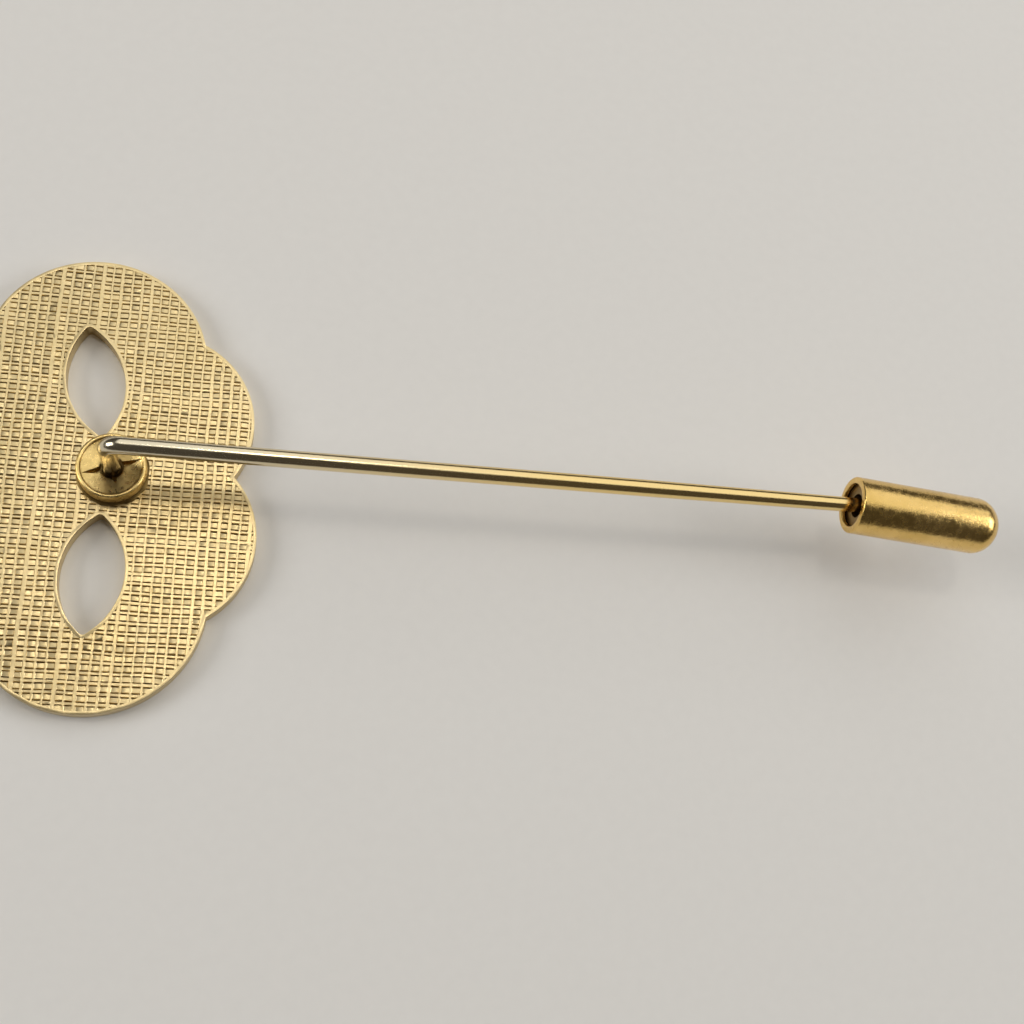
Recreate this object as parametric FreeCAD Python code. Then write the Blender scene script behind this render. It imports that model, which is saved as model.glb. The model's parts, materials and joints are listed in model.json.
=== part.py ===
"""Stick pin: a scalloped, pierced badge head, a bent needle on a dished pad, and a bullet-shaped end protector.

Millimetres. Origin: on the front face of the head, in line with the pad. +Z points out of the back of the head,
+X runs along the needle to its point, and +Y is across the head.
"""
import FreeCAD, Part

import math
import os

V = FreeCAD.Vector
X_AXIS = V(1, 0, 0)
Z_AXIS = V(0, 0, 1)

# --- badge head -------------------------------------------------------------------------------------------------
plate_thickness = 1.2          # front wall tops to back face
head_turn_deg = 4.8            # the head's mirror line against the needle
# Lobes: radius, centre ahead of the pad's axis along the mirror line, and centre out from that line. The pad is
# soldered a little off the middle, so left (+Y) and right differ.
side_left_radius = 6.97
side_left_ahead = -1.17
side_left_out = 7.71
side_right_radius = 7.2
side_right_ahead = -1.33
side_right_out = 8.09
lower_left_radius = 6.16
lower_left_ahead = 2.66
lower_left_out = 3.49
lower_right_radius = 6.07
lower_right_ahead = 2.8
lower_right_out = 4.2
top_lobe_radius = 6.08
top_lobe_ahead = -3.52
top_lobe_out = -0.32

# Almond openings: centre as for the lobes, and the outer tip leans away from the needle's end of the head.
almond_left_length = 7.65
almond_left_width = 3.66
almond_left_ahead = -1.18
almond_left_out = 6.19
almond_left_splay_deg = 7.4
almond_right_length = 7.7
almond_right_width = 3.97
almond_right_ahead = -1.16
almond_right_out = 6.61
almond_right_splay_deg = 6.9
almond_tip_radius = 0.3

# --- front walls and enamel -------------------------------------------------------------------------------------
enamel_depth = 0.6             # depth of the cells below the wall tops
enamel_recess = 0.12           # enamel surface below the wall tops
rim_width = 0.6
almond_rim_width = 0.55
wall_width = 0.45
boss_radius = 2.1              # plain round boss in the middle of the front

# --- pad --------------------------------------------------------------------------------------------------------
pad_radius = 2.15
pad_height = 1.35
pad_foot_radius = 1.98
pad_foot_height = 0.4
pad_lip_width = 0.3
pad_dish_floor = 0.9           # height of the dish at the centre hole
slit_length = 3.7              # staked slit across the dish, with a shorter one square to it
slit_width = 0.75
cross_slit_length = 2.5
slit_floor = 0.25
slit_turn_deg = 19.0
solder_width = 0.3
solder_height = 0.3

# --- needle -----------------------------------------------------------------------------------------------------
wire_radius = 0.55
needle_height = 5.2            # wire axis above the back of the head
needle_reach = 56.5            # pad axis to the tip of the point
bend_radius = 0.9
taper_length = 17.0            # long slow taper behind the point
taper_end_radius = 0.475
point_length = 5.5
tip_radius = 0.1
foot_clearance = 0.17          # round the wire in the pad's hole
braze_below_dish = 0.2

# --- end protector ----------------------------------------------------------------------------------------------
cap_engagement = 8.7           # length of needle inside the protector
cap_radius = 1.9
cap_length = 10.5
cap_wall = 0.3
cap_dome_height = 1.7
cap_lip_depth = 0.3
cap_lip_overhang = 0.15
cap_shoulder = 0.2             # step in the bore that stops the sleeve
cap_yaw_deg = -4.6             # the protector hangs slightly off the needle
cap_droop_deg = 1.4

sleeve_length = 5.6
sleeve_clearance = 0.05        # in the shell's bore
sleeve_end_play = 0.08
sleeve_flange = 0.3
sleeve_wall = 0.28
sleeve_land = 0.8              # length that bears on the wire
sleeve_land_at = 2.2           # from the sleeve's front face
sleeve_mouth_radius = 0.8
sleeve_slot_width = 0.2
wire_clearance = 0.03

# --- places that follow from the sizes above --------------------------------------------------------------------
needle_z = plate_thickness + needle_height
taper_end = needle_reach - point_length
taper_start = taper_end - taper_length
pad_hole_radius = wire_radius + foot_clearance
cap_mouth_at = needle_reach - cap_engagement
cap_bore = cap_radius - cap_wall
lip_bore = cap_bore - cap_lip_overhang
sleeve_radius = cap_bore - sleeve_clearance
sleeve_front = cap_lip_depth + sleeve_end_play
shoulder_at = sleeve_front + sleeve_length + sleeve_end_play


def save(shape, node):
    if shape.ShapeType == "Compound" and len(shape.Solids) == 1:
        shape = shape.Solids[0]
    assert shape.isValid() and shape.Volume > 0, node
    shape.exportStep("parts/" + node + ".step")
    print(node, len(shape.Solids), round(shape.Volume, 3))


def revolved(points, axis_point=V(0, 0, 0), axis=Z_AXIS):
    """Solid of revolution from a closed outline of points and three-point arcs, given as (r, z) pairs.

    A plain pair is joined to the one before it by a line. A pair of pairs is the middle and the end of an arc.
    """
    def at(pair):
        return V(pair[0], 0, pair[1])
    edges = []
    here = at(points[0])
    for step in points[1:] + [points[0]]:
        if isinstance(step[0], tuple):
            middle, end = at(step[0]), at(step[1])
            edges.append(Part.Arc(here, middle, end).toShape())
        else:
            end = at(step)
            if end.isEqual(here, 1e-9):
                continue
            edges.append(Part.LineSegment(here, end).toShape())
        here = end
    face = Part.Face(Part.Wire(edges))
    return face.revolve(axis_point, axis, 360)


def turned_with_head(shape):
    """The head is laid out on its own mirror line, then turned on the pad's axis."""
    return shape.rotated(V(0, 0, 0), Z_AXIS, head_turn_deg)


# --- badge head -------------------------------------------------------------------------------------------------
class Lobe:
    def __init__(self, node, ahead, out, radius):
        self.node, self.ahead, self.out, self.radius = node, ahead, out, radius

    def disc(self, inset, low, high):
        return Part.makeCylinder(self.radius - inset, high - low, V(self.ahead, self.out, low))

    def wall_cut(self, other, low, high):
        """Half space on this lobe's side of the line through both lobes' crossings, less half a wall."""
        along = V(other.ahead - self.ahead, other.out - self.out, 0)
        gap = along.Length
        reach = (gap ** 2 + self.radius ** 2 - other.radius ** 2) / (2 * gap) - wall_width / 2
        side = 4 * (side_left_out + side_left_radius)
        block = Part.makeBox(side, side, high - low, V(reach - side, -side / 2, low))
        angle = math.degrees(math.atan2(along.y, along.x))
        return block.rotated(V(0, 0, 0), Z_AXIS, angle).translated(V(self.ahead, self.out, 0))


LOBES = [
    Lobe("enamel_side_left", side_left_ahead, side_left_out, side_left_radius),
    Lobe("enamel_side_right", side_right_ahead, -side_right_out, side_right_radius),
    Lobe("enamel_lower_left", lower_left_ahead, lower_left_out, lower_left_radius),
    Lobe("enamel_lower_right", lower_right_ahead, -lower_right_out, lower_right_radius),
    Lobe("enamel_top", top_lobe_ahead, top_lobe_out, top_lobe_radius),
]


class Almond:
    def __init__(self, length, width, ahead, out, turn_deg):
        self.length, self.width, self.ahead, self.out, self.turn_deg = length, width, ahead, out, turn_deg

    def solid(self, grow, low, high):
        """The opening, with a margin: two equal arcs that meet in rounded tips."""
        half_length = self.length / 2 + grow
        half_width = self.width / 2 + grow
        tip = almond_tip_radius + grow
        # The side arcs' radius follows from the width and from touching both tip circles.
        tip_centre = half_length - tip
        reach = half_width - tip
        arc = (tip_centre ** 2 + reach ** 2) / (2 * reach)
        offset = arc - reach
        touch_angle = math.atan2(tip_centre, offset)
        touch_x = (arc + tip) * math.cos(touch_angle) - offset
        touch_y = (arc + tip) * math.sin(touch_angle)
        right = Part.Arc(V(touch_x, -touch_y, low), V(half_width, 0, low), V(touch_x, touch_y, low))
        upper = Part.Arc(V(touch_x, touch_y, low), V(0, half_length, low), V(-touch_x, touch_y, low))
        left = Part.Arc(V(-touch_x, touch_y, low), V(-half_width, 0, low), V(-touch_x, -touch_y, low))
        lower = Part.Arc(V(-touch_x, -touch_y, low), V(0, -half_length, low), V(touch_x, -touch_y, low))
        face = Part.Face(Part.Wire([side.toShape() for side in (right, upper, left, lower)]))
        solid = face.extrude(V(0, 0, high - low))
        return solid.rotated(V(0, 0, 0), Z_AXIS, self.turn_deg).translated(V(self.ahead, self.out, 0))


ALMONDS = [
    Almond(almond_left_length, almond_left_width, almond_left_ahead, almond_left_out, almond_left_splay_deg),
    Almond(almond_right_length, almond_right_width, almond_right_ahead, -almond_right_out,
           -almond_right_splay_deg),
]


def cell(lobe, low, high):
    """The hollow of one enamel cell, between its walls."""
    body = lobe.disc(rim_width, low, high)
    for other in LOBES:
        if other is not lobe:
            body = body.common(lobe.wall_cut(other, low, high))
    body = body.cut(Part.makeCylinder(boss_radius, high - low, V(0, 0, low)))
    for almond in ALMONDS:
        body = body.cut(almond.solid(almond_rim_width, low, high))
    return body


def badge_plate():
    body = LOBES[0].disc(0, 0, plate_thickness)
    for lobe in LOBES[1:]:
        body = body.fuse(lobe.disc(0, 0, plate_thickness))
    for almond in ALMONDS:
        body = body.cut(almond.solid(0, -1, plate_thickness + 1))
    for lobe in LOBES:
        body = body.cut(cell(lobe, 0, enamel_depth))
    return turned_with_head(body.removeSplitter())


# --- pad --------------------------------------------------------------------------------------------------------
def pad_blank():
    """The pad before staking: a low drum with a rounded lip and a dished top, bored for the wire."""
    back = plate_thickness
    top = back + pad_height
    lip = pad_lip_width / 2
    lip_centre = pad_radius - lip
    dish_edge = lip_centre - lip
    dish_low = back + pad_dish_floor
    dish_high = top - lip
    sag = 0.12 * (dish_edge - pad_hole_radius)
    middle = ((dish_edge + pad_hole_radius) / 2 + sag / 2, (dish_low + dish_high) / 2 - sag)
    outline = [
        (pad_hole_radius, back),
        (pad_foot_radius, back),
        (pad_radius, back + pad_foot_height),
        (pad_radius, top - lip),
        ((lip_centre, top), (dish_edge, dish_high)),
        (middle, (pad_hole_radius, dish_low)),
    ]
    return revolved(outline)


def slit(length, width, angle_deg):
    """A diamond-shaped slit, widest at the hole."""
    low = plate_thickness + slit_floor
    points = [V(length / 2, 0, low), V(0, width / 2, low), V(-length / 2, 0, low), V(0, -width / 2, low)]
    face = Part.Face(Part.makePolygon(points + points[:1]))
    return face.extrude(V(0, 0, pad_height)).rotated(V(0, 0, 0), Z_AXIS, angle_deg)


def pin_pad():
    body = pad_blank()
    body = body.cut(slit(slit_length, slit_width, slit_turn_deg))
    return body.cut(slit(cross_slit_length, slit_width, slit_turn_deg + 90))


def pad_solder():
    back = plate_thickness
    outer = pad_foot_radius + solder_width
    hollow = (pad_foot_radius + 0.42 * solder_width, back + 0.3 * solder_height)
    outline = [
        (pad_foot_radius / 2, back),
        (outer, back),
        (hollow, (pad_foot_radius, back + solder_height)),
        (pad_foot_radius / 2, back + solder_height),
    ]
    ring = revolved(outline)
    return ring.cut(revolved([(0, back), (pad_foot_radius, back), (pad_radius, back + pad_foot_height),
                              (0, back + pad_foot_height)]))


# --- needle -----------------------------------------------------------------------------------------------------
def on_wire(x):
    return V(x, 0, needle_z)


def needle():
    bend_low = V(0, 0, needle_z - bend_radius)
    post = Part.makeCylinder(wire_radius, needle_height - bend_radius, V(0, 0, plate_thickness))
    section = Part.Face(Part.Wire(Part.makeCircle(wire_radius, bend_low, Z_AXIS)))
    bend = section.revolve(bend_low + V(bend_radius, 0, 0), V(0, 1, 0), 90)
    straight = Part.makeCylinder(wire_radius, taper_start - bend_radius, on_wire(bend_radius), X_AXIS)
    taper = Part.makeCone(wire_radius, taper_end_radius, taper_length, on_wire(taper_start), X_AXIS)
    point = Part.makeCone(taper_end_radius, tip_radius, point_length - tip_radius, on_wire(taper_end), X_AXIS)
    tip = Part.makeSphere(tip_radius, on_wire(needle_reach - tip_radius))
    return post.fuse([bend, straight, taper, point, tip]).removeSplitter()


def foot_braze():
    back = plate_thickness
    height = pad_dish_floor - braze_below_dish
    ring = Part.makeCylinder(pad_hole_radius, height, V(0, 0, back))
    return ring.cut(Part.makeCylinder(wire_radius, height, V(0, 0, back)))


# --- end protector ----------------------------------------------------------------------------------------------
def on_cap(shape):
    """From the protector's own axis (+Z into it, mouth at zero) to its place on the needle."""
    shape = shape.rotated(V(0, 0, 0), V(0, 1, 0), 90 + cap_droop_deg)
    shape = shape.rotated(V(0, 0, 0), Z_AXIS, cap_yaw_deg)
    return shape.translated(V(cap_mouth_at, 0, needle_z))


def dome(radius, height, length):
    """Half of the shell's outline past its straight wall: a quarter ellipse turned about the axis."""
    base = length - height
    ball = Part.makeSphere(1.0)
    grow = FreeCAD.Matrix()
    grow.scale(radius, radius, height)
    return ball.transformGeometry(grow).translated(V(0, 0, base))


def cap_shell():
    straight = cap_length - cap_dome_height
    lip_round = cap_lip_depth / 2
    outside = revolved([
        (0, 0),
        (cap_radius - lip_round, 0),
        ((cap_radius - lip_round * (1 - math.sqrt(0.5)), lip_round * (1 - math.sqrt(0.5))), (cap_radius, lip_round)),
        (cap_radius, straight),
        (0, straight),
    ])
    outside = outside.fuse(dome(cap_radius, cap_dome_height, cap_length))
    deep_bore = cap_bore - cap_shoulder
    hollow = Part.makeCylinder(cap_bore, shoulder_at - cap_lip_depth, V(0, 0, cap_lip_depth))
    hollow = hollow.fuse(Part.makeCylinder(lip_bore, cap_lip_depth + 1, V(0, 0, -1)))
    hollow = hollow.fuse(Part.makeCylinder(deep_bore, straight - shoulder_at, V(0, 0, shoulder_at)))
    hollow = hollow.fuse(dome(deep_bore, cap_dome_height - cap_wall, cap_length - cap_wall))
    return on_cap(outside.cut(hollow).removeSplitter())


def needle_radius_at(x):
    share = min(max((x - taper_start) / taper_length, 0), 1)
    return wire_radius + share * (taper_end_radius - wire_radius)


def grip_sleeve():
    """A waisted spring sleeve: a flange in the mouth, fingers that close on the wire, and a flared tail."""
    front = sleeve_front
    back = front + sleeve_length
    waist_at = front + sleeve_land_at + sleeve_land / 2
    land_at_x = cap_mouth_at + front + sleeve_land_at
    land_radius = needle_radius_at(land_at_x) + wire_clearance
    lean = math.radians(math.hypot(cap_yaw_deg, cap_droop_deg))
    off_axis = (waist_at + sleeve_land) * math.tan(lean)
    waist_radius = land_radius + off_axis + sleeve_wall
    outside = revolved([
        (0, front),
        (sleeve_radius, front),
        (sleeve_radius, front + sleeve_flange),
        (sleeve_mouth_radius + sleeve_wall, front + sleeve_flange),
        (waist_radius, waist_at - sleeve_land / 2),
        (waist_radius, waist_at + sleeve_land / 2),
        (sleeve_radius, back - sleeve_flange),
        (sleeve_radius, back),
        (0, back),
    ])
    mouth = revolved([
        (0, front - 1),
        (sleeve_mouth_radius, front - 1),
        (sleeve_mouth_radius, front + sleeve_flange),
        (land_radius, waist_at - sleeve_land / 2),
        (0, waist_at - sleeve_land / 2),
    ])
    tail = revolved([
        (0, waist_at + sleeve_land / 2),
        (land_radius + off_axis, waist_at + sleeve_land / 2),
        (sleeve_radius - sleeve_wall, back - sleeve_flange),
        (sleeve_radius - sleeve_wall, back + 1),
        (0, back + 1),
    ])
    body = outside.cut(mouth).cut(tail)
    slot_low = front + sleeve_flange
    for angle in (0, 90, 180):
        box = Part.makeBox(2 * sleeve_radius, sleeve_slot_width, back - sleeve_flange - slot_low,
                           V(0, -sleeve_slot_width / 2, slot_low))
        body = body.cut(box.rotated(V(0, 0, 0), Z_AXIS, angle))
    split = Part.makeBox(2 * sleeve_radius, sleeve_slot_width, sleeve_length + 2,
                         V(0, -sleeve_slot_width / 2, front - 1))
    body = on_cap(body.cut(split.rotated(V(0, 0, 0), Z_AXIS, -90)))
    wire_way = Part.makeCylinder(land_radius, cap_length, V(cap_mouth_at - 1, 0, needle_z), X_AXIS)
    return body.cut(wire_way)


os.makedirs("parts", exist_ok=True)
save(badge_plate(), "badge_plate")
for lobe in LOBES:
    save(turned_with_head(cell(lobe, enamel_recess, enamel_depth)), lobe.node)
save(pin_pad(), "pin_pad")
save(pad_solder(), "pad_solder")
save(needle(), "needle")
save(foot_braze(), "foot_braze")
save(grip_sleeve(), "grip_sleeve")
save(cap_shell(), "cap_shell")
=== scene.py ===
"""Looks of a stick pin: a pierced, scalloped head, a bent needle on a dished pad, and an end protector.

Every piece is modelled in the part's own frame, in metres: the head lies face down, +Z comes out of its
back and +X runs along the needle to its point.
"""

import json
import math
import random

import bpy
from mathutils import Matrix, Vector, noise


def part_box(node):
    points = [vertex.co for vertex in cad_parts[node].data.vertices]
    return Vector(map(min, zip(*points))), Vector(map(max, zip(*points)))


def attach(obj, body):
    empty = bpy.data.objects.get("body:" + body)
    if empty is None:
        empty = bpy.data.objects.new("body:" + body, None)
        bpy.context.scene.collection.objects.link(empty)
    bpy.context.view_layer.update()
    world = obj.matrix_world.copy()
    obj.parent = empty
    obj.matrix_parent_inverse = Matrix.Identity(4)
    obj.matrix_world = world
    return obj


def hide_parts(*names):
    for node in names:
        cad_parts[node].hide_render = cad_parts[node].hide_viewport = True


bl_info = {
    "name": "Stick pin",
    "version": (1, 0, 0),
    "blender": (4, 5, 0),
    "location": "View3D > Sidebar > Stick pin",
    "description": "Builds a gold-plated stick pin with a hatched back and an end protector",
    "category": "Object",
}

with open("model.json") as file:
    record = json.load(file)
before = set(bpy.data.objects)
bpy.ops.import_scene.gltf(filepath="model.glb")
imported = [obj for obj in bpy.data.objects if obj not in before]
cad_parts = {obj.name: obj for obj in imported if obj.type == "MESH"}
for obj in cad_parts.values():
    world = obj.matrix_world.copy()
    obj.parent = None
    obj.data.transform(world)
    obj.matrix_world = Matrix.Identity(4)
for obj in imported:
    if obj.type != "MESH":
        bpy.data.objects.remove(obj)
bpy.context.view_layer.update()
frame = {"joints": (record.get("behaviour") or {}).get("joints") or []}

MM = 0.001
HAIR = 0.01 * MM        # an overlap or a gap too small to see
MERGE = 0.0005 * MM     # points nearer to each other than this are one point
FINE_CUT = 1e-8         # metres; a bisect's own default would swallow the thin cuts made here
SEED = 11

PLATE_LOW, PLATE_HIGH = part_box("badge_plate")
PLATE_BACK = PLATE_HIGH.z
PAD_LOW, PAD_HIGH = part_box("pin_pad")
NEEDLE_LOW, NEEDLE_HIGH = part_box("needle")
SPIN = next(joint for joint in frame["joints"] if joint["name"] == "cap_spin")
CAP_MOUTH = Vector(SPIN["pos_m"])
CAP_AXIS = Vector(SPIN["axis"])


# --- sizes and colours ------------------------------------------------------------------------------------
def length(name, description, default_mm):
    return bpy.props.FloatProperty(name=name, description=description, default=default_mm * MM, min=0.0,
                                   unit="LENGTH", subtype="DISTANCE", precision=5)


def lobe(name, radius_mm, ahead_mm, out_mm):
    return bpy.props.FloatVectorProperty(
        name=name, description="Radius, then the centre ahead along the mirror line, then out", size=3,
        default=(radius_mm * MM, ahead_mm * MM, out_mm * MM), unit="LENGTH", precision=5)


def opening(name, long_mm, wide_mm, ahead_mm, out_mm):
    return bpy.props.FloatVectorProperty(
        name=name, description="Length, width, then the centre ahead along the mirror line, then out",
        size=4, default=(long_mm * MM, wide_mm * MM, ahead_mm * MM, out_mm * MM), unit="LENGTH", precision=5)


def angle(name, description, default_deg):
    return bpy.props.FloatProperty(name=name, description=description, default=math.radians(default_deg),
                                   unit="ROTATION", subtype="ANGLE")


def linear(hex_colour):
    """An sRGB hex colour as linear red, green, blue and alpha."""
    parts = [int(hex_colour[i:i + 2], 16) / 255 for i in (1, 3, 5)]
    return tuple(c / 12.92 if c <= 0.04045 else ((c + 0.055) / 1.055) ** 2.4 for c in parts) + (1.0,)


def colour(name, description, default_hex):
    return bpy.props.FloatVectorProperty(name=name, description=description, size=4, min=0.0, max=1.0,
                                         default=linear(default_hex), subtype="COLOR")


class HeadSizes(bpy.types.PropertyGroup):
    turn: angle("Turn", "Turn of the head's mirror line from the needle", 4.8)
    side_left: lobe("Left side lobe", 6.97, -1.17, 7.71)
    side_right: lobe("Right side lobe", 7.2, -1.33, -8.09)
    lower_left: lobe("Left lower lobe", 6.16, 2.66, 3.49)
    lower_right: lobe("Right lower lobe", 6.07, 2.8, -4.2)
    top: lobe("Top lobe", 6.08, -3.52, -0.32)
    almond_left: opening("Left opening", 7.65, 3.66, -1.18, 6.19)
    almond_left_splay: angle("Left opening splay", "Lean of the left opening's outer tip", 7.4)
    almond_right: opening("Right opening", 7.7, 3.97, -1.16, -6.61)
    almond_right_splay: angle("Right opening splay", "Lean of the right opening's outer tip", -6.9)
    almond_tip: length("Opening tip radius", "Radius of the openings' tips", 0.3)
    rim: length("Rim", "Width of the front's outer wall", 0.6)
    almond_rim: length("Opening rim", "Width of the wall round each opening", 0.55)
    wall: length("Wall", "Width of the walls between enamel cells", 0.45)
    boss: length("Boss radius", "Radius of the plain boss in the middle of the front", 2.1)
    cell_depth: length("Cell depth", "Depth of the enamel cells", 0.6)
    enamel_recess: length("Enamel recess", "Enamel surface below the wall tops", 0.12)
    enamel_round: length("Enamel rounding", "Rounding of the enamel where it meets its walls", 0.12)
    edge_round: length("Edge rounding", "Rounding left on the edges by tumbling", 0.06)


class HatchSizes(bpy.types.PropertyGroup):
    pitch: length("Pitch", "Spacing of the hatching, both ways", 0.632)
    border: length("Border", "Plain border round the hatching", 0.2)
    depth: length("Depth", "Depth of the grooves below the ridges", 0.11)
    column_ridge: length("Column ridge", "Width of the ridges across the needle", 0.18)
    row_ridge: length("Row ridge", "Width of the ridges along the needle", 0.14)
    side_slope: length("Side slope", "Half width of the grooves beside the column ridges", 0.03)
    row_slope: length("Row slope", "Half width of the grooves beside the row ridges", 0.055)
    shallow: bpy.props.FloatProperty(
        name="Shallow sides", description="How full the grooves beside the columns are",
        default=0.7, min=0.0, max=1.0, subtype="FACTOR")
    wobble: length("Wobble", "How far the ridges wander", 0.05)


class PadSizes(bpy.types.PropertyGroup):
    foot_radius: length("Foot radius", "Radius where the pad meets the head", 1.98)
    foot_height: length("Foot height", "Height of the flared foot", 0.4)
    lip: length("Lip", "Width of the rounded lip", 0.3)
    dish_floor: length("Dish floor", "Height of the dish at the hole", 0.9)
    hole_radius: length("Hole radius", "Radius of the centre hole", 0.72)
    slit_length: length("Slit length", "Length of the staked slit", 3.7)
    slit_width: length("Slit width", "Width of the slit at the hole", 0.75)
    cross_slit_length: length("Cross slit length", "Length of the slit square to it", 2.5)
    slit_floor: length("Slit floor", "Height of the slit's floor", 0.25)
    slit_turn: angle("Slit turn", "Turn of the slit from the needle", 19.0)
    solder_reach: length("Solder reach", "Reach of the solder past the foot", 0.3)
    solder_height: length("Solder height", "Height of the solder on the foot", 0.3)
    braze_height: length("Braze height", "Height of the braze in the hole", 0.5)


class NeedleSizes(bpy.types.PropertyGroup):
    radius: length("Radius", "Radius of the wire", 0.55)
    bend: length("Bend radius", "Radius of the bend along the wire's middle", 0.9)
    taper: length("Taper", "Length of the slow taper", 17.0)
    taper_radius: length("Taper radius", "Radius at the end of the slow taper", 0.475)
    point: length("Point", "Length of the point", 5.5)
    tip: length("Tip radius", "Radius of the very tip", 0.1)


class CapSizes(bpy.types.PropertyGroup):
    radius: length("Radius", "Outer radius of the shell", 1.9)
    reach: length("Length", "Length of the shell", 10.5)
    wall: length("Wall", "Thickness of the shell", 0.3)
    dome: length("Dome", "Height of the rounded end", 1.7)
    lip_depth: length("Lip depth", "Depth of the turned-in lip", 0.3)
    lip_overhang: length("Lip overhang", "How far the lip turns in", 0.15)
    shoulder: length("Shoulder", "Step in the bore behind the sleeve", 0.2)
    sleeve_length: length("Sleeve length", "Length of the spring sleeve", 5.6)
    sleeve_gap: length("Sleeve gap", "Clearance round the sleeve", 0.05)
    sleeve_play: length("Sleeve play", "End play of the sleeve", 0.08)
    flange: length("Flange", "Thickness of the sleeve's end rings", 0.3)
    sleeve_wall: length("Sleeve wall", "Thickness of the sleeve's strip", 0.28)
    land_at: length("Land start", "Start of the gripping land from the sleeve's front", 2.2)
    land: length("Land", "Length of the gripping land", 0.8)
    land_radius: length("Land radius", "Radius of the gripping land's bore", 0.508)
    sleeve_mouth: length("Sleeve mouth", "Radius of the sleeve's mouth", 0.8)
    slot: length("Slot", "Width of the sleeve's slots", 0.2)


class Finishes(bpy.types.PropertyGroup):
    head_gold: colour("Head gold", "Pale flash plating of the head", "#e8d3a3")
    # The groove colour below is painted shade for the hatching's grooves, not a colour of the metal.
    head_groove_shade: colour("Groove shade", "Painted shade down in the hatching", "#77592c")
    pad_gold: colour("Pad gold", "Plating of the pad", "#fbdb92")
    cap_gold: colour("Cap gold", "Plating of the shell", "#f0cb80")
    wire_gold: colour("Wire gold", "Plating of the needle", "#f2d592")
    wire_steel: colour("Wire steel", "Thin plating near the bend", "#dfd4b8")
    # The wire's foot colour below is painted shade and dark reflection on the post.
    wire_foot_shade: colour("Wire foot shade", "Painted brown shade at the foot of the wire", "#4a3820")
    solder: colour("Solder", "Plated solder", "#8d7444")
    spring: colour("Spring bronze", "Phosphor bronze strip", "#a58a5c")
    enamel_side: colour("Side enamel", "Enamel of the wide lobes", "#1d3f73")
    enamel_lower: colour("Lower enamel", "Enamel of the lower lobes", "#2c7f86")
    enamel_top: colour("Top enamel", "Enamel of the top lobe", "#e9dfc6")


class StudioSizes(bpy.types.PropertyGroup):
    camera_at: bpy.props.FloatVectorProperty(
        name="Camera", description="Place of the camera", size=3, unit="LENGTH", subtype="TRANSLATION",
        default=(9.62 * MM, -26.24 * MM, 81.73 * MM))
    aim: bpy.props.FloatVectorProperty(
        name="Aim", description="Middle of the view", size=3, unit="LENGTH", subtype="TRANSLATION",
        default=(24.77 * MM, -2.3 * MM, 6.4 * MM))
    roll: angle("Roll", "Turn of the camera on its own axis", -0.92)
    lens_mm: bpy.props.FloatProperty(name="Lens", description="Focal length in millimetres", default=45.17)
    floor: length("Floor", "Width of the floor", 900.0)
    floor_colour: colour("Floor colour", "Pale card", "#efece6")


GROUPS = {"head": HeadSizes, "hatch": HatchSizes, "pad": PadSizes, "needle": NeedleSizes, "cap": CapSizes,
          "finish": Finishes, "studio": StudioSizes}


# --- small modelling helpers ------------------------------------------------------------------------------
def clear_selection():
    bpy.ops.object.select_all(action="DESELECT")


def only(piece):
    """Selects one object and nothing else."""
    if bpy.context.mode != "OBJECT":
        bpy.ops.object.mode_set(mode="OBJECT")
    clear_selection()
    piece.select_set(True)
    bpy.context.view_layer.objects.active = piece


def modify(piece, kind, **settings):
    """Adds a modifier and applies it at once."""
    only(piece)
    modifier = piece.modifiers.new(kind.title(), kind)
    for name, value in settings.items():
        setattr(modifier, name, value)
    bpy.ops.object.modifier_apply(modifier=modifier.name)


def combine(piece, tool, operation):
    """Boolean with a second object, which is used up."""
    modify(piece, "BOOLEAN", object=tool, operation=operation, solver="MANIFOLD")
    bpy.data.objects.remove(tool)


def set_down(piece):
    """Puts the object's place and turn into its mesh."""
    only(piece)
    bpy.ops.object.transform_apply(location=True, rotation=True, scale=True)


def close_mesh(merge=True):
    """Merges doubles, turns every face outwards and leaves edit mode."""
    bpy.ops.mesh.select_all(action="SELECT")
    if merge:
        bpy.ops.mesh.remove_doubles(threshold=MERGE)
    bpy.ops.mesh.normals_make_consistent(inside=False)
    bpy.ops.object.mode_set(mode="OBJECT")


def drum(radius, low, high, at=(0.0, 0.0), sides=96):
    clear_selection()
    bpy.ops.mesh.primitive_cylinder_add(vertices=sides, radius=radius, depth=high - low,
                                        location=(at[0], at[1], (low + high) / 2))
    piece = bpy.context.active_object
    set_down(piece)
    return piece


def turned(rings, sides=96, closed=False):
    """A turned piece: a ring is drawn out and scaled from each (radius, height) to the next.

    An open piece is closed at both ends; a closed one joins its last ring to its first.
    """
    clear_selection()
    first_radius, height = rings[0]
    bpy.ops.mesh.primitive_circle_add(vertices=sides, radius=first_radius, location=(0, 0, height),
                                      fill_type="NOTHING")
    piece = bpy.context.active_object
    set_down(piece)
    bpy.ops.object.mode_set(mode="EDIT")
    bpy.ops.mesh.select_all(action="SELECT")
    if not closed:
        bpy.ops.mesh.edge_face_add()
        bpy.ops.mesh.select_all(action="SELECT")
    radius = first_radius
    for next_radius, next_height in rings[1:]:
        if closed:
            bpy.ops.mesh.extrude_edges_move(TRANSFORM_OT_translate={"value": (0, 0, next_height - height)})
        else:
            bpy.ops.mesh.extrude_region_move(TRANSFORM_OT_translate={"value": (0, 0, next_height - height)})
        share = next_radius / radius
        bpy.ops.transform.resize(value=(share, share, 1), center_override=(0, 0, next_height))
        radius, height = next_radius, next_height
    close_mesh()
    return piece


def arc(centre, radius, start_deg, end_deg, steps):
    """Points of a round corner in a turned piece's outline, as (radius, height) pairs."""
    points = []
    for step in range(steps + 1):
        a = math.radians(start_deg + (end_deg - start_deg) * step / steps)
        points.append((centre[0] + radius * math.cos(a), centre[1] + radius * math.sin(a)))
    return points


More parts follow.
